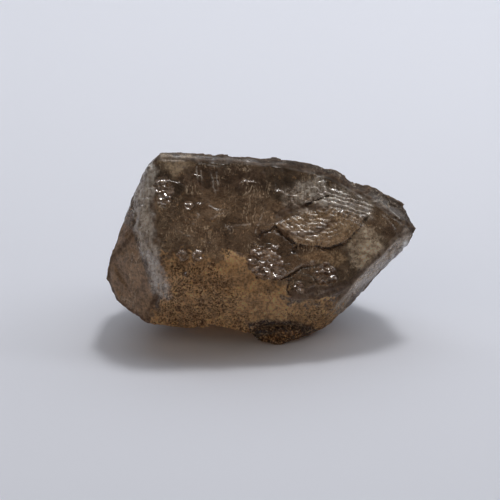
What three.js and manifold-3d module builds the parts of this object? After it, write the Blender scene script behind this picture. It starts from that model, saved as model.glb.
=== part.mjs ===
// A rough piece of smoky quartz, broken out of a larger crystal: one natural solid.
//
// Frame: +X runs along the stone to its pointed end, +Y goes to the back, +Z is up.
// The origin is under the middle of the stone, on the surface that it rests on.
// All lengths are in millimetres.

import * as THREE from 'three';
import { ConvexGeometry } from 'three/addons/geometries/ConvexGeometry.js';
import { mergeVertices } from 'three/addons/utils/BufferGeometryUtils.js';
import Module from 'manifold-3d';

// ---- driving dimensions ------------------------------------------------------------------

// The large clear face leans back: its lower edge, the brow, is in front of the top edge.
const BROW_Y = -13.3;
const TOP_Y = 0.2;

// The arch under the left half lifts the front edge this far off the surface.
const ARCH_LIFT = 4.2;

// How round the cutters of the shell-shaped breaks are.
const CUTTER_SEGMENTS = 56;
const CUTTER_RINGS = 36;

const SMOKY_BROWN = 0x4f3e31;

// ---- corners of the stone, ridge by ridge -------------------------------------------------

// The top edge is a narrow, almost level strip: its front row ends the clear face.
const topStrip = [
  [-18.2, TOP_Y - 1.0, 31.0],
  [3.0, TOP_Y + 0.3, 29.1],
  [12.6, TOP_Y + 0.4, 27.0],
  [-17.6, TOP_Y + 1.5, 30.9],
  [3.0, TOP_Y + 2.5, 29.1],
  [9.0, TOP_Y + 2.7, 28.2],
  [13.4, TOP_Y + 2.7, 26.7],
];

// The frosted ridge down the left side of the clear face, two rows about 2 mm apart.
const leftRidge = [
  [-19.8, -2.2, 29.8],
  [-19.4, -5.1, 26.6],
  [-19.2, -7.9, 23.8],
  [-18.7, -10.7, 21.0],
  [-17.9, -13.1, 18.4],
  [-16.6, -14.4, 15.1],
  [-20.9, -1.4, 27.9],
  [-21.5, -4.0, 25.4],
  [-21.4, -7.0, 23.4],
  [-21.4, -9.7, 21.2],
  [-20.7, -11.5, 17.6],
  [-19.4, -12.6, 14.1],
];

// The left end: a smooth break that runs down to the blunt point and back to the foot.
const leftEnd = [
  [-21.8, 3.4, 22.2],
  [-22.9, 0.6, 20.2],
  [-24.1, -3.9, 19.0],
  [-25.3, -6.2, 17.2],
  [-26.8, -7.0, 13.8],
  [-27.4, -6.7, 9.8],
  [-25.6, -8.1, 6.2],
  [-23.0, -9.9, 5.1],
  [-20.2, -12.0, 4.2],
];

// The brow under the clear face, and the pitted crust that bulges below it.
const browAndCrust = [
  [-14.0, BROW_Y - 0.2, 17.5],
  [-3.5, BROW_Y + 0.2, 16.4],
  [8.0, BROW_Y + 3.1, 16.2],
  [-12.0, -15.0, 9.9],
  [-4.0, -15.6, 10.8],
  [4.5, -15.4, 11.0],
  [-13.4, -13.7, 4.1],
  [-4.5, -14.1, 2.9],
];

// The right end: a long bevel below, a dark facet above, and the tip between them.
const rightEnd = [
  [10.0, -14.0, 9.7],
  [12.4, -12.5, 7.1],
  [16.2, -12.0, 11.7],
  [19.8, -9.5, 14.6],
  [24.2, -5.9, 17.6],
  [12.6, -8.3, 2.2],
  [15.3, -6.0, 5.7],
  [20.7, -4.2, 10.1],
  [26.2, -2.4, 14.7],
  [27.4, -1.9, 17.6],
  [25.4, -3.7, 19.6],
  [20.4, -2.0, 22.8],
  [25.3, 2.1, 20.4],
  [21.2, 2.6, 23.1],
];

// The back: broad breaks that fall away from the top strip.
const back = [
  [-15.0, 7.1, 27.4],
  [6.0, 8.1, 25.4],
  [-22.5, 8.6, 15.5],
  [-25.6, 2.6, 10.0],
  [-19.0, -0.9, 2.6],
  [-13.0, 15.6, 15.0],
  [6.0, 16.1, 12.0],
  [17.5, 11.1, 14.0],
  [24.0, 5.6, 14.5],
  [-14.0, 12.1, 3.4],
  [10.0, 12.1, 2.6],
];

// The level facet that the stone rests on. Its front corner is the heel.
const restFacet = [
  [-11.0, -3.9, 0],
  [-8.0, 7.1, 0],
  [6.0, 8.1, 0],
  [12.5, 0.1, 0],
  [9.0, -8.4, 0],
  [3.4, -12.9, 0],
];
const heelSide = [[8.5, -10.9, 0.9]];

// ---- shell-shaped breaks -----------------------------------------------------------------

// Each cutter is an ellipsoid: its middle, its three radii, and its turns about X, Y and Z
// in degrees. Large cutters that only graze the block leave wide, shallow, shell-shaped faces.
const breaks = [
  { name: 'arch under the left half', middle: [-8, -14, -6.8], radii: [11, 13, 6.8 + ARCH_LIFT] },
  { name: 'lens-shaped chip at the heel', middle: [4, -19.5, 2.3], radii: [9.8, 8, 2.9] },
  { name: 'dip behind the shoulder', middle: [17.7, 3, 27.7], radii: [3.2, 9, 4], turns: [0, 0, 10] },
  { name: 'flake scar on the right front', middle: [11.2, -11.7, 27.3], radii: [16, 9, 8], turns: [-47, -12, 0] },
  { name: 'upper back break', middle: [-11, 27, 30.5], radii: [25, 20, 19], turns: [0, 14, 0] },
  { name: 'lower back break', middle: [20.5, 25, 2.5], radii: [20, 16, 18], turns: [0, 0, -24] },
  { name: 'left back break', middle: [-33, 14.5, 20.5], radii: [14, 18, 19], turns: [0, 0, 0] },
];

// ---- helpers -----------------------------------------------------------------------------

const wasm = await Module();
wasm.setup();

function toSolid(geometry) {
  geometry.deleteAttribute('normal');
  geometry.deleteAttribute('uv');
  const merged = mergeVertices(geometry, 1e-4);
  const mesh = new wasm.Mesh({
    numProp: 3,
    vertProperties: Float32Array.from(merged.attributes.position.array),
    triVerts: Uint32Array.from(merged.index.array),
  });
  return new wasm.Manifold(mesh);
}

function toGeometry(solid) {
  const mesh = solid.getMesh();
  const geometry = new THREE.BufferGeometry();
  geometry.setAttribute('position', new THREE.BufferAttribute(mesh.vertProperties, 3));
  geometry.setIndex(new THREE.BufferAttribute(mesh.triVerts, 1));
  geometry.computeVertexNormals();
  return geometry;
}

// The block of the stone before its shell-shaped breaks: the hull of all its corners.
function stoneBlock() {
  const corners = [
    ...topStrip, ...leftRidge, ...leftEnd, ...browAndCrust,
    ...rightEnd, ...back, ...restFacet, ...heelSide,
  ];
  const points = corners.map(([x, y, z]) => new THREE.Vector3(x, y, z));
  return toSolid(new ConvexGeometry(points));
}

function breakCutter({ middle, radii, turns = [0, 0, 0] }) {
  const sphere = new THREE.SphereGeometry(1, CUTTER_SEGMENTS, CUTTER_RINGS);
  sphere.scale(...radii);
  const [aboutX, aboutY, aboutZ] = turns.map(THREE.MathUtils.degToRad);
  sphere.rotateY(aboutY);
  sphere.rotateX(aboutX);
  sphere.rotateZ(aboutZ);
  sphere.translate(...middle);
  return toSolid(sphere);
}

// ---- the stone ---------------------------------------------------------------------------

function makeCrystal() {
  const broken = breaks.reduce(
    (solid, shape) => solid.subtract(breakCutter(shape)),
    stoneBlock(),
  );
  const geometry = toGeometry(broken);
  geometry.computeBoundingBox();
  const middle = geometry.boundingBox.getCenter(new THREE.Vector3());
  geometry.translate(-middle.x, -middle.y, -geometry.boundingBox.min.z);

  const material = new THREE.MeshStandardMaterial({
    color: SMOKY_BROWN,
    roughness: 0.15,
    metalness: 0,
  });
  const mesh = new THREE.Mesh(geometry, material);
  mesh.name = 'crystal';
  return mesh;
}

const stone = new THREE.Group();
stone.add(makeCrystal());

export default stone;
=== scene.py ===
# %% [markdown]
# # A smoky quartz crystal
# This lesson dresses one rough, broken piece of smoky quartz. The stone is a single natural
# solid, about 55 mm long. Its block comes from the CAD frame; everything finer, such as the
# pitted crust, the frosted ridge, the flake and the cracks, is modelled here as real relief.
# Part of the noise starts from a seed. It is set once, so that every run gives the same stone.

# %% Load the frame
import math

import bmesh
import bpy
import numpy as np
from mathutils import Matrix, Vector, kdtree, noise


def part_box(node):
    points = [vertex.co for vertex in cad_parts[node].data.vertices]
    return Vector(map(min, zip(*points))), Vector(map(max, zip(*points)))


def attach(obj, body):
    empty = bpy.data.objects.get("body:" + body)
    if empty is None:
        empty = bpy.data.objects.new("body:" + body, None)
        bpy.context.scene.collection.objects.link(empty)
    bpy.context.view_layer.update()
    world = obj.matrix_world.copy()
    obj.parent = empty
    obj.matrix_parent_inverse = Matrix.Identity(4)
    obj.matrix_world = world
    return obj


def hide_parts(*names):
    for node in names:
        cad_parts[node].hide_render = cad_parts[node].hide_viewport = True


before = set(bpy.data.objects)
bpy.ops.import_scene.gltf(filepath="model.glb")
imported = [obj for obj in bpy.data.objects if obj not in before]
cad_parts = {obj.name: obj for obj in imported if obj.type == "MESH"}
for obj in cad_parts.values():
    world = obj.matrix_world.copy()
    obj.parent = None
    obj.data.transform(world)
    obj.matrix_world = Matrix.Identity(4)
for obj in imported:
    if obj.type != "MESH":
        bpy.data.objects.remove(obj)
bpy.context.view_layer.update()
block_low, block_high = (Vector(corner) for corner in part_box("crystal"))
MM = 0.001
NOISE_SEED = 1
noise.seed_set(NOISE_SEED)
print("block of the stone, mm:", [round(side / MM, 1) for side in block_high - block_low])

# %% [markdown]
# ## The camera
# The stone is seen from the front and a little above. All marks on its front are laid out on a
# drawing board that leans back by the same angle: x runs along the stone, and up runs up the
# board. Both are in millimetres, so a mark's place can be read off with a ruler.

# %% Camera and drawing board
CAMERA_TILT = math.radians(25)
CAMERA_DISTANCE = 0.60
LENS_MM = 242
toward_camera = Vector((0, -math.cos(CAMERA_TILT), math.sin(CAMERA_TILT)))
board_up = Vector((0, math.sin(CAMERA_TILT), math.cos(CAMERA_TILT)))
BOARD_ZERO = 5.4
look_at = Vector((-1.9 * MM, 0, 12.4 * MM))


def aim(thing, target):
    """Turns a camera or a light so that it faces a target."""
    thing.rotation_euler = (target - thing.location).to_track_quat("-Z", "Y").to_euler()


bpy.ops.object.camera_add(location=look_at + toward_camera * CAMERA_DISTANCE)
camera = bpy.context.object
camera.data.lens = LENS_MM
camera.data.clip_start = 0.01
aim(camera, look_at)
bpy.context.scene.camera = camera
print("camera at", [round(c, 3) for c in camera.location])

# %% [markdown]
# ## The floor and the light
# A stone like this is shown on a sheet of pale card under a soft, high light. The card
# is one large plane. A small key lamp and a wide strip stand high behind the stone: they send
# light through it, which shows its brown, and throw its shadow to the front. A softbox lights
# the card at the back, and two weaker panels fill in from the right and from the left front.
# The sky could be one flat grey, but it is warmer in front than behind, as in a room with one
# window, so that the front of the stone keeps its brown.

# %% Floor, sky and lamps
FLOOR_SIZE = 4.0
SKY_FRONT = (0.17, 0.145, 0.12)
SKY_BACK = (0.15, 0.165, 0.20)


def simple_material(name, color, roughness):
    material = bpy.data.materials.new(name)
    material.use_nodes = True
    shader = material.node_tree.nodes["Principled BSDF"]
    shader.inputs["Base Color"].default_value = (*color, 1)
    shader.inputs["Roughness"].default_value = roughness
    return material


bpy.ops.mesh.primitive_plane_add(size=FLOOR_SIZE)
floor = bpy.context.object
floor.name = "floor"
floor.data.materials.append(simple_material("pale_card", (0.72, 0.75, 0.83), 0.7))

world = bpy.data.worlds.new("soft_sky")
bpy.context.scene.world = world
world.use_nodes = True
sky_nodes, sky_links = world.node_tree.nodes, world.node_tree.links
sky = sky_nodes["Background"]
direction = sky_nodes.new("ShaderNodeTexCoord")
axes = sky_nodes.new("ShaderNodeSeparateXYZ")
front_to_back = sky_nodes.new("ShaderNodeMapRange")
front_to_back.inputs["From Min"].default_value = -0.4
front_to_back.inputs["From Max"].default_value = 0.6
sky_color = sky_nodes.new("ShaderNodeMix")
sky_color.data_type = "RGBA"
sky_color.inputs[6].default_value = (*SKY_FRONT, 1)
sky_color.inputs[7].default_value = (*SKY_BACK, 1)
sky_links.new(direction.outputs["Generated"], axes.inputs["Vector"])
sky_links.new(axes.outputs["Y"], front_to_back.inputs["Value"])
sky_links.new(front_to_back.outputs["Result"], sky_color.inputs["Factor"])
sky_links.new(sky_color.outputs[2], sky.inputs["Color"])


def area_light(name, place, target, width, height, power, color=(1, 1, 1)):
    bpy.ops.object.light_add(type="AREA", location=place)
    light = bpy.context.object
    light.name = name
    light.data.shape = "RECTANGLE"
    light.data.size = width
    light.data.size_y = height
    light.data.energy = power
    light.data.color = color
    aim(light, target)
    return light


# name, place, target, width, height, power and colour
key = area_light("key", Vector((0.08, 0.24, 0.49)), look_at, 0.10, 0.08, 0.92, (1.0, 0.98, 0.96))
area_light("strip", Vector((0.08, 0.26, 0.48)), look_at, 1.30, 0.12, 1.40, (0.97, 0.98, 1.0))
area_light("side", Vector((0.46, 0.16, 0.28)), look_at, 0.36, 0.30, 0.33, (0.98, 0.98, 1.0))
area_light("softbox", Vector((0.05, 0.62, 0.46)), look_at, 1.40, 0.24, 1.45, (0.96, 0.98, 1.0))
area_light("fill", Vector((-0.40, -0.30, 0.30)), look_at, 0.50, 0.50, 0.26, (1.0, 0.88, 0.74))
bpy.context.scene.view_settings.view_transform = "Standard"

# %% [markdown]
# ## The block becomes a fine skin
# On the real stone every break has its own small relief, down to a few tenths of a millimetre.
# It could be sculpted by hand, but then nobody could change the outlines below afterwards.
# The CAD block has few, large facets. A copy of it is welded, and the Remesh modifier lays an
# even net of small squares over it. Shrinkwrap then draws the net tight onto the block again,
# so that the facets stay flat and their edges stay sharp.

# %% Copy, weld and remesh the block
NET = 0.36 * MM
SHARP_ANGLE = math.radians(16)
EDGE_STEP = 0.4 * MM


def select_only(piece):
    bpy.ops.object.select_all(action="DESELECT")
    piece.select_set(True)
    bpy.context.view_layer.objects.active = piece


def finish_modifier(piece, modifier):
    select_only(piece)
    bpy.ops.object.modifier_apply(modifier=modifier.name)


def copy_of(piece, name):
    select_only(piece)
    bpy.ops.object.duplicate()
    twin = bpy.context.object
    twin.name = name
    return twin


block = copy_of(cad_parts["crystal"], "block")
bpy.ops.object.mode_set(mode="EDIT")
bpy.ops.mesh.select_all(action="SELECT")
bpy.ops.mesh.remove_doubles(threshold=0.01 * MM)
bpy.ops.object.mode_set(mode="OBJECT")


def sharp_edge_points(piece, least_angle, step):
    """Points along the edges where two faces meet at more than an angle."""
    net = bmesh.new()
    net.from_mesh(piece.data)
    points = []
    for edge in net.edges:
        if edge.is_manifold and edge.calc_face_angle() > least_angle:
            a, b = (vert.co for vert in edge.verts)
            count = max(2, int((b - a).length / step))
            points += [a.lerp(b, i / count) for i in range(count + 1)]
    net.free()
    return points


ridge_points = sharp_edge_points(block, SHARP_ANGLE, EDGE_STEP)
stone = copy_of(block, "crystal_skin")
remesh = stone.modifiers.new("net", "REMESH")
remesh.mode = "VOXEL"
remesh.voxel_size = NET
finish_modifier(stone, remesh)
print("skin:", len(stone.data.vertices), "points,", len(ridge_points), "points along its edges")

# %% [markdown]
# ## Measuring the skin
# Each region is a weight from 0 to 1 for every point of the skin, worked out from where the
# point lies on the drawing board and which way it faces. Weights could be painted with a brush,
# but worked out they can be moved by changing a number.

# %% Board coordinates


def measure(piece):
    """Every point's place in mm, its outward direction, and its place on the board."""
    mesh = piece.data
    count = len(mesh.vertices)
    place = np.empty(count * 3)
    mesh.vertices.foreach_get("co", place)
    place = place.reshape(-1, 3) / MM
    out = np.empty(count * 3)
    mesh.vertices.foreach_get("normal", out)
    out = out.reshape(-1, 3)
    up = place @ np.array(board_up) + BOARD_ZERO
    front = out @ np.array(toward_camera)
    return place, out, np.stack([place[:, 0], up], axis=1), front


place, out, spots, front = measure(stone)
print("up the board the skin runs from", round(spots[:, 1].min(), 1), "to", round(spots[:, 1].max(), 1))

# %% [markdown]
# ## Soft outlines
# A mark on the stone has no hard rim, so a region is a distance turned into a smooth step: the
# distance to a line for cracks and ridges, and the depth inside an outline for patches.

# %% Distances to lines and outlines


def ramp(values, low, high):
    """0 below low, 1 above high, and a smooth rise between."""
    t = np.clip((values - low) / (high - low), 0, 1)
    return t * t * (3 - 2 * t)


def distance_to_line(spots, line):
    """How far each spot on the board is from a line through some points."""
    best = np.full(len(spots), 1e9)
    for a, b in zip(line[:-1], line[1:]):
        a, b = np.array(a, float), np.array(b, float)
        along = np.clip(((spots - a) @ (b - a)) / ((b - a) @ (b - a)), 0, 1)
        best = np.minimum(best, np.linalg.norm(spots - (a + along[:, None] * (b - a)), axis=1))
    return best


def distance_to_lines(spots, lines):
    return np.min([distance_to_line(spots, line) for line in lines], axis=0)


def depth_inside(spots, outline):
    """How far each spot is inside a closed outline; outside it is negative."""
    inside = np.zeros(len(spots), bool)
    x, y = spots[:, 0], spots[:, 1]
    closed = list(outline) + [outline[0]]
    for (ax, ay), (bx, by) in zip(closed[:-1], closed[1:]):
        if ay == by:
            continue
        crosses = ((ay > y) != (by > y)) & (x < (bx - ax) * (y - ay) / (by - ay) + ax)
        inside ^= crosses
    return np.where(inside, 1, -1) * distance_to_line(spots, closed)


square = [(0, 0), (4, 0), (4, 4), (0, 4)]
print("depth of a spot in a 4 mm square:", depth_inside(np.array([[1.0, 2.0]]), square)[0], "mm")

# %% [markdown]
# ## Grain
# Quartz breaks into smooth swells, into splinters with steps between them, and into pits. Each
# of these is a rule that gives a height for a place in the stone. Noise textures on a Displace
# modifier could do part of it, but the splinters need planes with a chosen tilt.

# %% Rules for the grain


def pattern(place, size, rule, seed=0, stretch=(1, 1, 1)):
    """A noise value for each point: size is the grain in mm, stretch makes it longer one way."""
    shift = Vector((seed * 17.3, seed * 5.1, seed * 9.7))
    scaled = place / (size * np.array(stretch))
    return np.array([rule(Vector(spot) + shift) for spot in scaled])


def fractal(spot):
    return noise.fractal(spot, 0.9, 2.1, 4)


def splinter(spot, spread=1.0, lean=Vector()):
    """Small tilted planes with sharp steps between them, as in crumpled fractures."""
    centres = noise.voronoi(spot)[1]
    tilt = (noise.cell_vector(centres[0] * 7.0) - Vector((0.5, 0.5, 0.5))) * spread - lean
    return tilt.dot(spot - centres[0])


def shard(spot, spread=1.0, lean=Vector()):
    """Splinters with bent outlines."""
    return splinter(spot + 0.45 * noise.noise_vector(spot * 0.8), spread, lean)


def dots(spot):
    """1 in the middle of each cell and 0 at its rim."""
    bent = spot + 0.35 * noise.noise_vector(spot * 1.9)
    return 1 - noise.voronoi(bent)[0][0]


print("a splinter's height, in cell widths:", round(splinter(Vector((0.3, 0.2, 0.1))), 3))

# %% [markdown]
# ## Pushing and keeping
# A weight does two jobs. It pushes the skin in or out with a Displace modifier, through a vertex
# group, and it is kept as an attribute, so that the material finds the same places.

# %% Push the skin, and keep a weight


def push(piece, name, weight, height):
    """Moves the skin along its normals by height times the weight; a weight may be negative."""
    for sign in (1, -1):
        part = np.clip(sign * weight, 0, None)
        if part.max() < 0.004:
            continue
        most = float(part.max())
        group = piece.vertex_groups.new(name=name)
        for index in np.nonzero(part > 0.004)[0]:
            group.add([int(index)], float(part[index]) / most, "REPLACE")
        move = piece.modifiers.new(name, "DISPLACE")
        move.mid_level = 0
        move.strength = sign * most * height * MM
        move.vertex_group = name
        finish_modifier(piece, move)
        piece.vertex_groups.remove(piece.vertex_groups[name])


def keep(piece, name, values):
    """Keeps a value for every point, for the material to read."""
    layer = piece.data.attributes.get(name) or piece.data.attributes.new(name, "FLOAT", "POINT")
    layer.data.foreach_set("value", values.astype(np.float32))


print("vertex groups before the first push:", len(stone.vertex_groups))

# %% [markdown]
# ## Regions on the front
# The outlines below are drawn on the board. The crust fills the lower front, the flake is a
# raised patch on the right, and the frosted ridge follows the left edge of the clear face.

# %% Outlines in mm on the board
CRUST = [(-17.4, 15.2), (-13, 15.6), (-8, 15.3), (-3, 15.1), (-2, 12.6), (3.2, 10.2), (5.2, 7.2),
         (9.0, 7.4), (12.6, 7.8), (13.6, 5.0), (14, -2), (-24, -2), (-18.6, 6.5), (-16.6, 10)]
BARE = [(-7.4, 14.4), (0.2, 14.6), (1.6, 10.4), (4.4, 8.4), (4.2, 4.4), (-3.0, 5.0), (-4.2, 8.6)]
FLAKE = [(2.1, 21.1), (4.1, 19.5), (6.4, 17.6), (9, 17), (11.5, 17.0), (13.8, 17.4), (16.4, 19.1),
         (18.6, 21.8), (15, 23.6), (11, 24), (7, 22.8)]
FOIL = [(9.4, 27.6), (13, 27.8), (16, 25.6), (19.3, 25), (19.6, 23), (17.6, 21.9), (14.6, 22.4),
        (11.6, 24.4)]
CRINKLE = [(5, 28), (9.5, 29), (12, 27.4), (11, 23.6), (7, 23), (4.6, 24.6)]
TIP_FACET = [(18.2, 28.6), (21.2, 27.8), (25.4, 25.4), (28.5, 21), (26, 19.6), (24.9, 21.8),
             (21.2, 24.9), (19.2, 25.6)]
SILK = [(3.4, 20.4), (6.6, 18.2), (10.2, 18.8), (11.8, 21.4), (9.6, 23.0), (6.0, 22.4)]
CLOUD = [(15.4, 20.0), (18.0, 21.4), (21.2, 20.0), (21.4, 16.4), (19.0, 13.6), (16.0, 14.2),
         (14.8, 17.0)]
BROWN_FACET = [(6.2, 15.6), (9.0, 16.4), (13.8, 16.8), (15.6, 15.0), (13.2, 13.8), (9.6, 14.4)]
CHIPS = [((25.5, 17.8), 0.7), ((23.3, 15.4), 0.5), ((24.6, 16.6), 0.3)]
TOP_STRIP = [(-12, 36), (-12, 33.2), (-4, 32.7), (4, 31.7), (10, 30.2), (15, 27.7), (18, 26.4),
             (21.2, 26.0), (24.6, 23.8), (27.0, 20.6), (31, 20), (28, 26), (22, 30), (14, 36)]
TAN = [(-18.6, 33.6), (-11.6, 33.4), (-11.9, 31.4), (-14.6, 29.3), (-16.8, 30.6)]
WINDOWS = [
    [(-14.7, 29.2), (-13.1, 30.8), (-8.7, 31.3), (-3.5, 31.5), (1.4, 30.6), (1.4, 27.8),
     (-3.5, 26.7), (-8.5, 27.1), (-12.7, 27.4)],
    [(21.2, 19.6), (21.9, 20.7), (23.4, 21.1), (23.9, 20.4), (23.0, 18.9), (21.6, 18.6)],
    [(4.6, 25.6), (6.2, 26.4), (7.4, 25.2), (6.6, 23.8), (5.2, 24.0)],
]
# the lens is the foot where the stone rests; the material paints it nearly black, a painted shadow
LENS = [(-2.3, 3.7), (0.4, 4.4), (4.4, 4.2), (8.0, 3.7), (10.6, 2.1), (8.5, -2.2), (4.4, -3.0),
        (0.9, -1.6), (-1.8, 1.2)]
LEFT_FACET = [(-24.2, 21.4), (-22.4, 20), (-21.2, 16), (-20, 12), (-18.6, 8), (-20.6, 3),
              (-29, 6), (-29, 14)]
RIDGE_LINE = [(-19.6, 30.0), (-20.6, 27.4), (-21.0, 25.3), (-20.6, 21.6), (-20.1, 18.0),
              (-19.2, 15.0), (-18.1, 12.1), (-17.2, 9.6)]
# the band along this line is painted pale grey in the material, a painted reflection
BEVEL_LINE = [(25.6, 19.4), (22.8, 16.4), (19.8, 13.4), (16.8, 10.4), (14.2, 7.4), (12.4, 5)]
CRACKS = [
    [(-0.2, 18.8), (0.4, 19.8), (1.7, 20.0), (2.4, 20.7), (4.0, 19.3), (4.8, 18.7), (6.3, 17.5),
     (7.4, 17.3), (10.1, 17.1), (11.7, 16.9), (13.0, 17.2), (14.5, 17.7), (15.5, 18.3),
     (16.6, 19.6), (17.4, 20.4), (18.2, 21.8), (18.9, 22.5)],
    [(6.4, 17.5), (5.7, 16.4)],
    [(7.6, 24.6), (10.6, 25.8), (12.4, 26.5)],
    [(3.6, 11.6), (5.2, 12.3), (6.8, 13.4), (7.6, 13.7), (9.4, 13.9)],
    [(5.0, 11.4), (4.6, 9.8), (5.2, 8.6)],
]
SCRATCHES = [
    [(-11.3, 31.3), (-10.8, 27.1)], [(-10.4, 30.6), (-10.1, 27.4)], [(-8.7, 30.6), (-8.1, 26.6)],
    [(-7.8, 30.3), (-7.6, 27.1)], [(-10.8, 31.9), (-6.0, 31.2)], [(-9.0, 22.1), (-6.5, 23.2)],
    [(-12.0, 21.1), (-10.8, 22.8)], [(-6.0, 20.7), (-1.9, 21.1)], [(-0.9, 19.6), (0.3, 23.4)],
    [(19.5, 25.3), (21.1, 25.2), (22.8, 24.1), (24.7, 22.5)],
    [(21.6, 22.9), (23.0, 21.4), (24.1, 20.4)], [(2.8, 11.6), (5.4, 12.9), (7.2, 14.2), (9.6, 14.7)],
    [(13.2, 23.4), (12.0, 21.8), (10.4, 21.0)], [(15.0, 5.0), (19.0, 10.0), (24.0, 15.6)],
]
GLINTS = [((-17.2, 27.0), 2.2), ((-12.6, 24.4), 0.8), ((1.0, 14.4), 3.6), ((11.6, 12.4), 2.0),
          ((-13.6, 15.6), 1.2), ((-11.0, 15.7), 1.0), ((6.6, 10.2), 1.1), ((-13.2, 12.6), 0.4)]
print("crust outline:", len(CRUST), "points, cracks:", len(CRACKS), "glint patches:", len(GLINTS))

# %% [markdown]
# ## A finer net where it counts
# Pits and cracks are narrower than the squares of the net. A finer net all over would be four
# times as heavy, so only the squares under the crust, the breaks, the ridge, the cracks and the
# glints are cut in four. Then the skin is drawn tight onto the block.

# %% Make the net finer where the detail is, then draw it tight
place, out, spots, front = measure(stone)
fine = (depth_inside(spots, CRUST) > -0.6) & (front > -0.2)
for outline in (FLAKE, FOIL, CRINKLE, TIP_FACET):
    fine |= (depth_inside(spots, outline) > -0.4) & (front > -0.1)
fine |= (distance_to_line(spots, RIDGE_LINE) < 2.0) & (front > -0.1)
fine |= (distance_to_lines(spots, CRACKS + SCRATCHES) < 0.5) & (front > -0.1)
for middle, radius in GLINTS:
    fine |= (np.linalg.norm(spots - np.array(middle), axis=1) < 1.3 * radius) & (front > 0)
for vertex, chosen in zip(stone.data.vertices, fine):
    vertex.select = bool(chosen)
for edge in stone.data.edges:
    edge.select = all(stone.data.vertices[i].select for i in edge.vertices)
for face in stone.data.polygons:
    face.select = all(stone.data.vertices[i].select for i in face.vertices)
select_only(stone)
bpy.ops.object.mode_set(mode="EDIT")
bpy.ops.mesh.subdivide(number_cuts=1, smoothness=0)
bpy.ops.object.mode_set(mode="OBJECT")
tight = stone.modifiers.new("tight", "SHRINKWRAP")
tight.target = block
finish_modifier(stone, tight)
ease = stone.modifiers.new("ease", "SMOOTH")
ease.factor = 0.4
ease.iterations = 1
finish_modifier(stone, ease)
select_only(block)
bpy.ops.object.delete()
triangles = sum(len(face.vertices) - 2 for face in stone.data.polygons)
print("skin with its finer areas:", triangles, "triangles")

# %% [markdown]
# ## Relief, from broad to fine
# Broken quartz is never flat: its faces swell gently, its edges are nibbled, and each kind of
# surface has its own grain. The broad shapes come first: a swell all over, larger broken planes
# on the hidden sides, shallow planes on the front, and nibbled edges.

# %% Broad swell and chipped edges
place, out, spots, front = measure(stone)
push(stone, "swell", 0.5 * pattern(place, 7.0, fractal, seed=1), 0.5)

tree = kdtree.KDTree(len(ridge_points))
for index, point in enumerate(ridge_points):
    tree.insert(point, index)
tree.balance()
edge_gap = np.array([tree.find(Vector(spot) * MM)[2] / MM for spot in place])
hidden = (1 - ramp(front, -0.25, 0.1)) * ramp(edge_gap, 0.2, 1.8)
ledges = pattern(place, 3.6, splinter, seed=13) + 0.4 * pattern(place, 1.6, splinter, seed=14)
push(stone, "hidden_breaks", hidden * ledges, 1.2)
planes = ramp(front, 0.1, 0.4) * (1 - ramp(depth_inside(spots, CRUST), -1, 1))
planes *= ramp(edge_gap, 0.2, 1.2)
PLANE_SIZE = 3.2
shallow = pattern(place, PLANE_SIZE, lambda spot: shard(spot, 0.14), seed=20)
push(stone, "front_planes", planes * shallow, PLANE_SIZE)
near_edge = 1 - ramp(edge_gap, 0.1, 0.9)
nibbles = ramp(pattern(place, 1.3, fractal, seed=2), -0.1, 0.6)
push(stone, "nibbles", near_edge * nibbles, -0.34)
print("edge points nibbled:", int((near_edge * nibbles > 0.3).sum()))

# %% [markdown]
# ## From outlines to weights
# A region called crust, flake or foil is the inside of its outline with a wavering, soft rim.
# The first number is how much the rim wavers and the second how soft it is, both in mm.

# %% Region weights
place, out, spots, front = measure(stone)
wobble = pattern(place, 2.2, fractal, seed=3)
jitter = pattern(place, 0.8, fractal, seed=4)
facing = ramp(front, -0.05, 0.2)
# the noise of another point of the skin serves as a second, independent noise
ragged = spots + 0.25 * np.stack([jitter, np.roll(jitter, 7)], axis=1)


def region(outline, waver=0.5, soft=0.4):
    return ramp(depth_inside(spots, outline) + waver * wobble, -soft, soft) * facing


crust = region(CRUST, 1.6, 2.0)
rich = 1 - 0.65 * region(BARE, 1.8, 1.8)
lens = region(LENS, 0.2, 0.3)
flake = region(FLAKE, 0.25, 0.25)
silk = region(SILK, 0.9, 0.8)
foil = region(FOIL, 1.3, 1.1)
crinkle = region(CRINKLE, 1.5, 1.3)
tip_facet = region(TIP_FACET, 0, 0.3)
cloud = region(CLOUD, 0.9, 0.8)
tan = region(TAN, 0.9, 0.7)
top_strip = ramp(depth_inside(spots, TOP_STRIP) + 0.4 * wobble, -0.4, 0.4)
brown_facet = region(BROWN_FACET, 0.5, 0.4)
window = np.max([region(outline, 0.8, 0.9) for outline in WINDOWS], axis=0)
left_facet = region(LEFT_FACET, 0, 0.3)
frost = ramp(1.8 + 0.9 * wobble - distance_to_line(spots, RIDGE_LINE), -0.2, 0.9) * facing
chip = np.zeros(len(spots))
for middle, radius in CHIPS:
    away = np.linalg.norm(spots - np.array(middle), axis=1) / radius
    this_chip = 1 - ramp(away + 0.4 * wobble, 0.6, 1.0)
    # a chip doesn't run back over the side further than a few times its radius
    nearness = place @ np.array(toward_camera)
    behind = nearness[this_chip > 0.5].max() - nearness
    chip = np.maximum(chip, this_chip * (1 - ramp(behind, 1.2 * radius, 3.0 * radius)))
bevel = ramp(1.1 + 0.3 * wobble - distance_to_line(spots, BEVEL_LINE), -0.2, 0.4) * facing
crack_gap = distance_to_lines(ragged, CRACKS) + 9 * (1 - facing)
wavy = spots + np.stack([0.30 * wobble + 0.15 * jitter, 0.30 * np.roll(wobble, 3)], axis=1)
scratch_gap = distance_to_lines(wavy, SCRATCHES)
scratch_gap += 9 * (1 - facing)
glint = np.zeros(len(spots))
for middle, radius in GLINTS:
    away = np.linalg.norm(spots - np.array(middle), axis=1) / radius
    glint = np.maximum(glint, 1 - ramp(away + 0.5 * wobble, 0.5, 1.1))
glint *= facing
print("share of the skin that is crust:", round(float(crust.mean()), 2))
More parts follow.
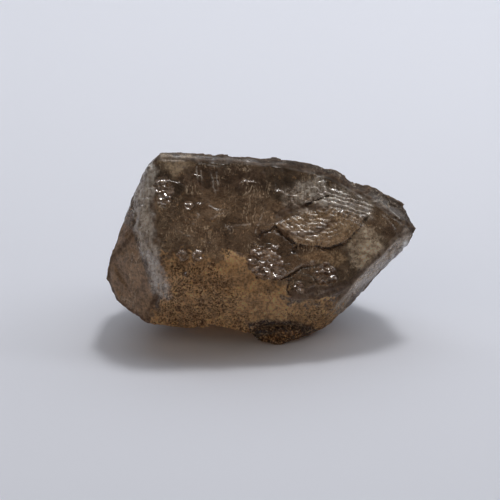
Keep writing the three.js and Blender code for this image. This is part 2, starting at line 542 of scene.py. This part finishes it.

# %% [markdown]
# ## The pitted crust
# The lower front is the old outside of the crystal, eaten into pits and short worm-like grooves.
# The pits are cells deepest in the middle, the grooves follow the zero line of a noise, and both
# are left out where the crust is bare. The material paints them near black, as painted shade.

# %% Pits in the crust
dense = ramp(pattern(place, 2.6, fractal, seed=6), -0.6, 0.0)
pits = ramp(pattern(place, 0.42, dots, seed=5), 0.55, 0.85) * dense * crust
worm_zone = ramp(pattern(place, 2.0, fractal, seed=16), -0.1, 0.5)
worms = ramp(0.12 - np.abs(pattern(place, 0.6, fractal, seed=15)), 0.0, 0.12) * worm_zone * crust
pits = np.maximum(pits, worms) * rich
push(stone, "crust_lumps", crust * pattern(place, 2.4, fractal, seed=7), 0.28)
push(stone, "pits", pits, -0.26)
print("points in pits:", int((pits > 0.5).sum()))

# %% [markdown]
# ## The flake and the fractures
# A thin raised flake sits on the right, with a crack along its lower edge: a real groove, painted
# nearly black as the shadow under the flake's lip. Above it the fracture is ribbed like crumpled
# foil; its silvery look is partly real relief and partly a painted reflection. Ribs and arcs are
# sine waves, and the crumpled part is made of splinters.

# %% Flake, crack and ribs
push(stone, "top_breaks", np.clip(top_strip + 0.6 * tip_facet, 0, 1) * ledges, 0.5)
push(stone, "flake", flake, 0.35)
push(stone, "crack", 1 - ramp(crack_gap, 0.08, 0.34), -0.42)
ribs = np.sin((place @ np.array((0.28, 0.25, 0.95))) * 9.0 + 2.4 * wobble)
push(stone, "foil_ribs", foil * ribs, 0.13)
rough_break = np.clip(crinkle + 0.35 * foil + 0.25 * flake, 0, 1)
push(stone, "crumple", rough_break * pattern(place, 1.5, splinter, seed=8), 1.1)
fine_break = 0.25 * flake + 0.5 * silk
push(stone, "flake_crumple", fine_break * pattern(place, 0.9, splinter, seed=18), 0.5)
arcs = np.sin(distance_to_line(spots, CRACKS[0]) * 8.5 + 1.2 * wobble)
push(stone, "flake_arcs", flake * arcs, 0.07)
print("points in the crack:", int((crack_gap < 0.2).sum()))

# %% [markdown]
# ## Planes that glint
# A few patches glitter, because their small planes happen to face half-way between the lamp and
# the eye. White paint alone would stay white from every side. So here the planes are tilted to that
# half-way direction, and the lamp makes the glints. The material also paints a lighter colour in
# curls over these patches: a painted highlight.

# %% Tilted planes in the glint patches
GLINT_GRAIN = 1.0


def glint_planes(spot):
    return shard(spot, 0.06, lean)


def glint_ripple(spot):
    return shard(spot, 0.06)


for number, (middle, radius) in enumerate(GLINTS):
    patch = ramp(1.25 - np.linalg.norm(spots - np.array(middle), axis=1) / radius, 0, 0.3)
    normal = Vector((out * (patch * facing)[:, None]).sum(axis=0)).normalized()
    here = Vector(place[patch > 0.5].mean(axis=0)) * MM
    to_eye, to_lamp = ((thing.location - here).normalized() for thing in (camera, key))
    halfway = (to_eye + to_lamp).normalized()
    lean = halfway / max(halfway.dot(normal), 0.6) - normal
    lean *= min(1.0, 0.8 / max(lean.length, 0.01))
    there = np.nonzero(patch * glint > 0.01)[0]
    steps = np.zeros(len(spots))
    steps[there] = pattern(place[there], GLINT_GRAIN, glint_planes, seed=9)
    steps[there] += 0.5 * pattern(place[there], 0.5 * GLINT_GRAIN, glint_ripple, seed=19)
    push(stone, "glint_steps", ramp(glint, 0.15, 0.5) * patch * steps, GLINT_GRAIN)
    print("glint patch", number + 1, "leans by", round(math.degrees(halfway.angle(normal))), "degrees")

# %% [markdown]
# ## Chips, ridge and shell rings
# Small white chips sit on the edge near the tip. The ridge at the left is bruised into fine
# streaks, and a small shell-like fracture with rings round it lies beside the crust. Last, what
# hangs below the floor is laid flat, because the stone rests on it.

# %% Chips, streaks and rings
push(stone, "chips", chip, 0.3)
streaks = ramp(pattern(place, 0.5, fractal, seed=10, stretch=(1, 5, 5)), -0.4, 0.5)
push(stone, "ridge_streaks", frost * streaks, -0.16)
bump_middle = np.array((7.0, 9.6))
bump_gap = np.linalg.norm(spots - bump_middle, axis=1)
shell_rings = (1 - ramp(bump_gap, 2.2, 4.6)) * (1 - crust) * facing
push(stone, "shell_rings", shell_rings * np.sin(bump_gap * 5.5 + wobble), 0.07)
place, out, spots, front = measure(stone)
place[:, 2] = np.clip(place[:, 2], 0, None)
stone.data.vertices.foreach_set("co", (place * MM).ravel())
stone.data.update()
print("relief done, lowest point", round(float(place[:, 2].min()), 3), "mm")

# %% [markdown]
# ## Weights for the material
# The clear coat lies on the breaks that shine: the foil, part of the silk, the chips and the
# frosted ridge. All weights are kept as attributes of the skin.

# %% Keep the weights for the material
gloss = np.max([foil, 0.6 * silk, chip, 0.6 * frost], axis=0)
kept = {
    "crust": crust, "rich": rich, "pits": pits,
    "frost": np.maximum(frost * (0.6 + 0.4 * streaks), chip),
    "crack_gap": crack_gap, "scratch_gap": scratch_gap, "flake": flake,
    "foil": np.clip(foil + 0.85 * crinkle, 0, 1),
    "cloud": cloud, "bevel": bevel, "glint": glint, "edge": near_edge, "tan": tan, "silk": silk,
    "window": window, "lens": lens, "left_facet": left_facet, "tip_facet": tip_facet,
    "top_strip": top_strip, "brown_facet": brown_facet, "gloss": gloss,
}
for name, values in kept.items():
    keep(stone, name, values)
print("kept:", ", ".join(kept))
select_only(stone)
bpy.ops.object.shade_smooth()

# %% [markdown]
# ## The quartz
# Smoky quartz is clear quartz with a brown tint all through it. The tint is a Volume Absorption,
# the same everywhere. The surface is a Principled shader that lets most light through; what it
# doesn't let through stands for the haze and the small cracks that scatter light in the stone.

# %% Clear brown quartz
TINT = (0.60, 0.38, 0.16)
TINT_DENSITY = 60
QUARTZ_IOR = 1.544
CLEARNESS = 0.64
quartz = bpy.data.materials.new("smoky_quartz")
quartz.use_nodes = True
nodes, links = quartz.node_tree.nodes, quartz.node_tree.links
shader = nodes["Principled BSDF"]
shader.inputs["IOR"].default_value = QUARTZ_IOR
shader.inputs["Transmission Weight"].default_value = CLEARNESS
shader.inputs["Coat Roughness"].default_value = 0.08
shader.inputs["Coat IOR"].default_value = 1.8
absorb = nodes.new("ShaderNodeVolumeAbsorption")
absorb.inputs["Color"].default_value = (*TINT, 1)
absorb.inputs["Density"].default_value = TINT_DENSITY
links.new(absorb.outputs["Volume"], nodes["Material Output"].inputs["Volume"])
print("quartz: IOR", QUARTZ_IOR, "and clearness", CLEARNESS)

# %% [markdown]
# ## Short words for nodes
# A material is a net of nodes, and wiring each by hand hides the idea. These helpers each add
# one node and return its output, so that a mask reads like a sum.

# %% Helpers that add one node each


def fill(socket, value):
    """Sets a socket to a colour or a number, or links an output to it."""
    if isinstance(value, tuple):
        socket.default_value = (*value, 1)
    elif isinstance(value, (int, float)):
        socket.default_value = value
    else:
        links.new(value, socket)


def weight(name):
    node = nodes.new("ShaderNodeAttribute")
    node.attribute_name = name
    return node.outputs["Fac"]


def mix(factor, below, above, blend="MIX"):
    node = nodes.new("ShaderNodeMix")
    node.data_type = "RGBA"
    node.blend_type = blend
    fill(node.inputs["Factor"], factor)
    fill(node.inputs[6], below)
    fill(node.inputs[7], above)
    return node.outputs[2]


def mix_value(factor, below, above):
    node = nodes.new("ShaderNodeMix")
    fill(node.inputs["Factor"], factor)
    fill(node.inputs[2], below)
    fill(node.inputs[3], above)
    return node.outputs[0]


def math_node(operation, a, b):
    node = nodes.new("ShaderNodeMath")
    node.operation = operation
    fill(node.inputs[0], a)
    fill(node.inputs[1], b)
    return node.outputs[0]


def times(a, b):
    return math_node("MULTIPLY", a, b)


def plus(a, b):
    return math_node("ADD", a, b)


def larger(a, b):
    return math_node("MAXIMUM", a, b)


def spread(value, low, high, to_low=0.0, to_high=1.0):
    """Turns the range from low to high into another range, with a smooth rise."""
    node = nodes.new("ShaderNodeMapRange")
    node.interpolation_type = "SMOOTHSTEP"
    fill(node.inputs["Value"], value)
    fill(node.inputs["From Min"], low)
    fill(node.inputs["From Max"], high)
    fill(node.inputs["To Min"], to_low)
    fill(node.inputs["To Max"], to_high)
    return node.outputs["Result"]


def thin_line(value, middle, inner, outer):
    """A line along the places where a noise has its middle value."""
    gap = math_node("ABSOLUTE", math_node("SUBTRACT", value, middle), 0.0)
    return spread(gap, inner, outer, 1.0, 0.0)


in_stone = nodes.new("ShaderNodeTexCoord").outputs["Object"]


def grain(scale, detail, stretch=(1, 1, 1), rough=0.5, distortion=0.0):
    """A noise fixed in the stone; its scale is in waves per metre."""
    mapping = nodes.new("ShaderNodeMapping")
    mapping.inputs["Scale"].default_value = stretch
    links.new(in_stone, mapping.inputs["Vector"])
    node = nodes.new("ShaderNodeTexNoise")
    links.new(mapping.outputs["Vector"], node.inputs["Vector"])
    node.inputs["Scale"].default_value = scale
    node.inputs["Detail"].default_value = detail
    node.inputs["Roughness"].default_value = rough
    node.inputs["Distortion"].default_value = distortion
    return node.outputs["Fac"]


print("nodes so far:", len(nodes))

# %% [markdown]
# ## Noise from broad to fine
# The clear face is mottled in patches of a few millimetres, and everything on it has a fine
# speckle. Stretched noise gives the streaks of the ridge and the silk of the flake.

# %% Broad patches, speckle and streaks
broad = grain(170, 4, distortion=0.6)
speckle = grain(2100, 4, rough=0.65)
mottle = grain(620, 5, rough=0.7, distortion=0.7)
streaky = grain(1900, 3, stretch=(1.0, 0.2, 0.14), rough=0.65, distortion=0.4)
silky = grain(1300, 3, stretch=(0.22, 1.0, 1.0), rough=0.6, distortion=0.8)
fibres = grain(900, 3, stretch=(1.0, 0.3, 0.3), rough=0.6, distortion=0.6)
curl = grain(1000, 3, rough=0.55, distortion=1.0)
print("nodes so far:", len(nodes))

# %% [markdown]
# ## Small pits
# Between the modelled pits there are smaller ones, down to a tenth of a millimetre. Their dark
# dots are painted shade with no relief under them: Voronoi cells with crumbled outlines, and they
# gather in zones.

# %% Dots, worm lines and their zones
fine_pits = nodes.new("ShaderNodeTexVoronoi")
fine_pits.inputs["Scale"].default_value = 2100
crumb = nodes.new("ShaderNodeTexNoise")
crumb.inputs["Scale"].default_value = 2600
bent = nodes.new("ShaderNodeVectorMath")
bent.operation = "MULTIPLY_ADD"
bent.inputs[1].default_value = (0.5 * MM, 0.5 * MM, 0.5 * MM)
links.new(in_stone, crumb.inputs["Vector"])
links.new(crumb.outputs["Color"], bent.inputs[0])
links.new(in_stone, bent.inputs[2])
links.new(bent.outputs["Vector"], fine_pits.inputs["Vector"])
pit_dots = spread(fine_pits.outputs["Distance"], 0.26, 0.44, 1.0, 0.0)
worm_line = thin_line(grain(1500, 2, rough=0.6, distortion=0.4), 0.56, 0.015, 0.040)
pit_zone = times(spread(grain(330, 3), 0.34, 0.50, 0.40, 1.0), weight("rich"))
small_marks = times(times(larger(pit_dots, worm_line), pit_zone), weight("crust"))
print("nodes so far:", len(nodes))

# %% [markdown]
# ## One mask for each finish
# A finish covers its region, but not evenly: crust is broken up, frost is streaky, and the
# glints are curls and blobs. Finishes that aren't listed here use their weight as it is.

# %% Masks
own_pits = spread(plus(weight("pits"), times(speckle, 0.5)), 0.50, 0.85)
web_line = thin_line(grain(1300, 2, distortion=0.5), 0.5, 0.0, 0.05)
fibre_line = thin_line(fibres, 0.5, 0.0, 0.02)
off_crust = math_node("SUBTRACT", 1.0, weight("crust"))
wisp_zone = spread(grain(260, 2), 0.42, 0.60, 0.0, 0.8)
crumbs = spread(grain(1200, 4, rough=0.65), 0.3, 0.7, -0.5, 0.5)
# curls and blobs in the glint patches: the glint colour paints a highlight in them, and the coat shines
# there
curls = larger(thin_line(curl, 0.47, 0.02, 0.06), spread(curl, 0.52, 0.56))
glint_on = spread(times(weight("glint"), curls), 0.15, 0.45)
masks = {
    "pits": larger(own_pits, times(small_marks, 0.85)),
    "threads": times(web_line, times(weight("crust"), 0.85)),
    "wisps": times(times(fibre_line, wisp_zone), off_crust),
    "crust": spread(plus(weight("crust"), crumbs), 0.35, 0.75),
    "crust_dark": times(weight("crust"), spread(grain(240, 3), 0.46, 0.60, 0.0, 0.8)),
    "edge": times(weight("edge"), 0.8),
    "silk": times(weight("silk"), spread(silky, 0.48, 0.60, 0.0, 0.9)),
    "frost": times(weight("frost"), spread(streaky, 0.38, 0.52, 0.55, 1.0)),
    "cloud": times(weight("cloud"), spread(grain(520, 4), 0.36, 0.6, 0.45, 1.0)),
    "glint_gap": spread(weight("glint"), 0.1, 0.5),
    "glint": glint_on,
}
print("masks:", ", ".join(masks))

# %% [markdown]
# ## Finish over finish
# The list runs from the bottom layer to the top one, as a painter would work: large facets
# first, then the crust, and pits last. Each has its colour and its roughness; some colours are
# painted light or shade, as marked beside them.

# %% Colours and roughness
FINISHES = [  # weight, colour, roughness
    ("left_facet", (0.44, 0.27, 0.13), 0.40),
    ("tan", (0.64, 0.51, 0.35), 0.30),
    ("window", (0.18, 0.12, 0.08), 0.10),
    # painted shade: the tip facet and the top strip are painted near black, darker than the stone
    # around them
    ("tip_facet", (0.09, 0.065, 0.048), 0.55),
    ("top_strip", (0.08, 0.055, 0.035), 0.95),
    ("brown_facet", (0.50, 0.36, 0.22), 0.16),
    ("cloud", (1.00, 0.86, 0.66), 0.34),
    # partly painted reflection: foil and crinkle are painted near white for their silvery look, over
    # real ribs and splinters
    ("foil", (1.00, 0.95, 0.87), 0.28),
    ("flake", (0.54, 0.40, 0.25), 0.22),
    ("silk", (1.00, 0.94, 0.84), 0.18),
    # painted reflection: the narrow face along the bevel line is painted pale grey, as if it mirrored
    # the bright background
    ("bevel", (0.68, 0.58, 0.46), 0.25),
    ("wisps", (0.95, 0.80, 0.60), 0.30),
    # partly painted shade: the edges are really nibbled and rough, and are also painted dark brown
    # along them
    ("edge", (0.16, 0.10, 0.06), 0.90),
    ("crust", (0.94, 0.59, 0.26), 0.65),
    ("crust_dark", (0.56, 0.34, 0.15), 0.65),
    # painted shadow: the foot where the stone rests on the card is painted nearly black
    ("lens", (0.036, 0.021, 0.010), 0.18),
    ("frost", (1.00, 0.98, 0.94), 0.45),
    ("glint_gap", (0.16, 0.10, 0.06), 0.60),
    # painted highlight: the curls in the glint patches are painted lighter, on top of the real glints
    ("glint", (0.60, 0.46, 0.34), 0.10),
    # painted highlight: a web of lighter golden lines over the crust
    ("threads", (0.95, 0.68, 0.38), 0.55),
    # painted shade: the pits, large and small, are painted near black
    ("pits", (0.060, 0.030, 0.011), 0.75),
]
color = mix(spread(broad, 0.36, 0.62), (0.118, 0.086, 0.058), (0.265, 0.195, 0.130))
rough = spread(broad, 0.3, 0.7, 0.08, 0.22)
for name, finish, finish_rough in FINISHES:
    factor = masks[name] if name in masks else weight(name)
    color = mix(factor, color, finish)
    rough = mix_value(factor, rough, finish_rough)
light_and_dark = times(plus(speckle, mottle), 0.5)
light_and_dark = mix(spread(light_and_dark, 0.39, 0.61), (0.50, 0.42, 0.35), (1.64, 1.61, 1.56))
color = mix(1.0, color, light_and_dark, "MULTIPLY")
print("finishes:", len(FINISHES))

# %% [markdown]
# ## Scratches, cracks and the last unevenness
# Scratches are pale, and cracks are painted nearly black: painted shade in their grooves and under
# the flake's lip. Both follow their distance kept on the skin, with a rim that wanders. A bump of a
# few hundredths of a millimetre roughens the surface, except in the glints, which have to stay
# smooth to shine.

# %% Scratches, cracks and bump
wander = times(math_node("SUBTRACT", speckle, 0.5), 0.5)
scratch = spread(plus(weight("scratch_gap"), wander), 0.04, 0.22, 1.0, 0.0)
scratch = times(scratch, spread(grain(700, 2), 0.38, 0.6, 0.1, 0.8))
color = mix(scratch, color, (0.92, 0.86, 0.78))
# painted shade: the cracks are painted nearly black, as the shadow in their grooves and under the
# flake's lip
crack = spread(plus(weight("crack_gap"), wander), 0.06, 0.20, 1.0, 0.0)
color = mix(crack, color, (0.02, 0.012, 0.008))
links.new(color, shader.inputs["Base Color"])
links.new(rough, shader.inputs["Roughness"])
links.new(larger(weight("gloss"), glint_on), shader.inputs["Coat Weight"])

bump = nodes.new("ShaderNodeBump")
bump.inputs["Distance"].default_value = 0.07 * MM
bump.inputs["Strength"].default_value = 1.0
calm = times(speckle, spread(weight("glint"), 0.1, 0.5, 1.0, 0.1))
links.new(plus(calm, times(streaky, weight("frost"))), bump.inputs["Height"])
links.new(bump.outputs["Normal"], shader.inputs["Normal"])
print("nodes in the quartz:", len(nodes))

# %% [markdown]
# ## The skin stands for the block
# The skin takes the place of the CAD block, which stays as it is for the physics.

# %% Put the finished skin in the frame
stone.data.materials.clear()
stone.data.materials.append(quartz)
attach(stone, "root")
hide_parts("crystal")
print("skin:", sum(len(face.vertices) - 2 for face in stone.data.polygons), "triangles")
